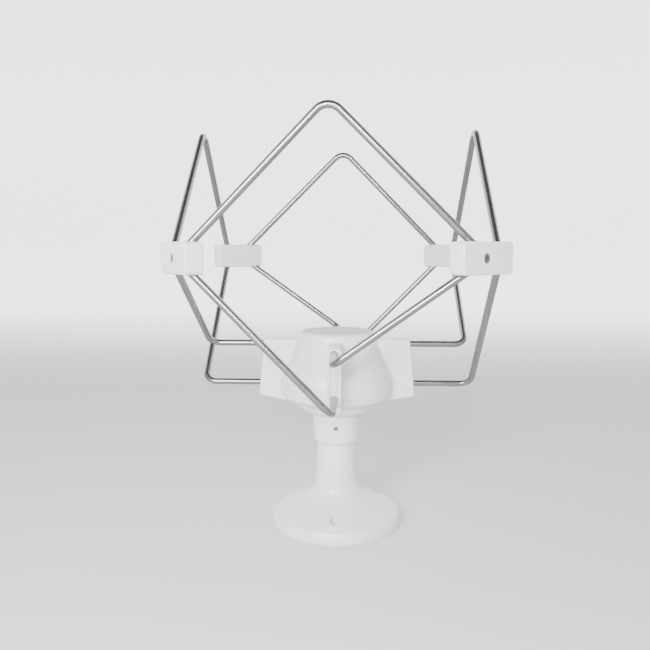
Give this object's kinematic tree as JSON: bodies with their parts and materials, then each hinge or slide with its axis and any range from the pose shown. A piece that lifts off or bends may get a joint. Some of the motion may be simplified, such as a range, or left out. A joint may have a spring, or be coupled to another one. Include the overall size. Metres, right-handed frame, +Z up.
{
  "type": "television antenna",
  "caption": "Omnidirectional television antenna: bent-rod loops clipped round a plastic head, which turns on a flared table foot and has an aerial socket underneath.",
  "frame": {"origin": "on the centre line at the foot's underside, in the plane that it stands on", "axes": "+Z up along the centre line; -Y is the front, where one foot screw hole and the head's lock screw are; +X is the viewer's right"},
  "size_m": [0.2332, 0.2351, 0.3112],
  "materials": {
    "white_plastic": "smooth moulded ABS, slightly glossy",
    "clip_plastic": "smooth moulded ABS, slightly glossy",
    "strip_plastic": "moulded, satin",
    "rod_aluminium": "drawn rod, satin with a soft shine",
    "screw_steel": "zinc-plated",
    "terminal_brass": "machined",
    "socket_plating": "nickel-plated",
    "copper_wire": "enamelled",
    "board_laminate": "solder mask",
    "ferrite": "sintered, dull",
    "component_body": "dipped",
    "gasket_rubber": "matt"
  },
  "bodies": {
    "pedestal": {"pedestal": "white_plastic"},
    "head": {"head_tray": "white_plastic", "head_cover": "white_plastic", "head_gasket": "gasket_rubber", "terminal_screws": "screw_steel", "circuit_board": "board_laminate", "board_screws": "screw_steel", "balun_core": "ferrite", "balun_winding": "copper_wire", "board_parts": "component_body", "f_socket": "socket_plating", "f_socket_nut": "socket_plating", "f_socket_washer": "socket_plating", "element_front": "rod_aluminium", "slot_strip_front": "strip_plastic", "terminal_post_front": "white_plastic", "lower_terminal_front": "terminal_brass", "upper_terminal_front": "terminal_brass", "feed_leads_front": "copper_wire", "element_right": "rod_aluminium", "slot_strip_right": "strip_plastic", "terminal_post_right": "white_plastic", "lower_terminal_right": "terminal_brass", "upper_terminal_right": "terminal_brass", "feed_leads_right": "copper_wire", "element_back": "rod_aluminium", "slot_strip_back": "strip_plastic", "terminal_post_back": "white_plastic", "lower_terminal_back": "terminal_brass", "upper_terminal_back": "terminal_brass", "feed_leads_back": "copper_wire", "element_left": "rod_aluminium", "slot_strip_left": "strip_plastic", "terminal_post_left": "white_plastic", "lower_terminal_left": "terminal_brass", "upper_terminal_left": "terminal_brass", "feed_leads_left": "copper_wire", "clip_outer_front_right": "clip_plastic", "clip_inner_front_right": "clip_plastic", "clip_screw_front_right": "screw_steel", "cover_screw_front_right": "screw_steel", "clip_outer_back_right": "clip_plastic", "clip_inner_back_right": "clip_plastic", "clip_screw_back_right": "screw_steel", "cover_screw_back_right": "screw_steel", "clip_outer_back_left": "clip_plastic", "clip_inner_back_left": "clip_plastic", "clip_screw_back_left": "screw_steel", "cover_screw_back_left": "screw_steel", "clip_outer_front_left": "clip_plastic", "clip_inner_front_left": "clip_plastic", "clip_screw_front_left": "screw_steel", "cover_screw_front_left": "screw_steel"},
    "lock_screw": {"lock_screw": "screw_steel"}
  },
  "joints": [
    {"name": "head_turn", "type": "hinge", "parent": "pedestal", "child": "head", "pos_m": [0, 0, 0.0807], "axis": [0, 0, 1], "range_deg": [-180, 180]},
    {"name": "lock_screw_travel", "type": "slide", "parent": "head", "child": "lock_screw", "axis": [0, -1, 0], "range_m": [0, 0.004]}
  ]
}
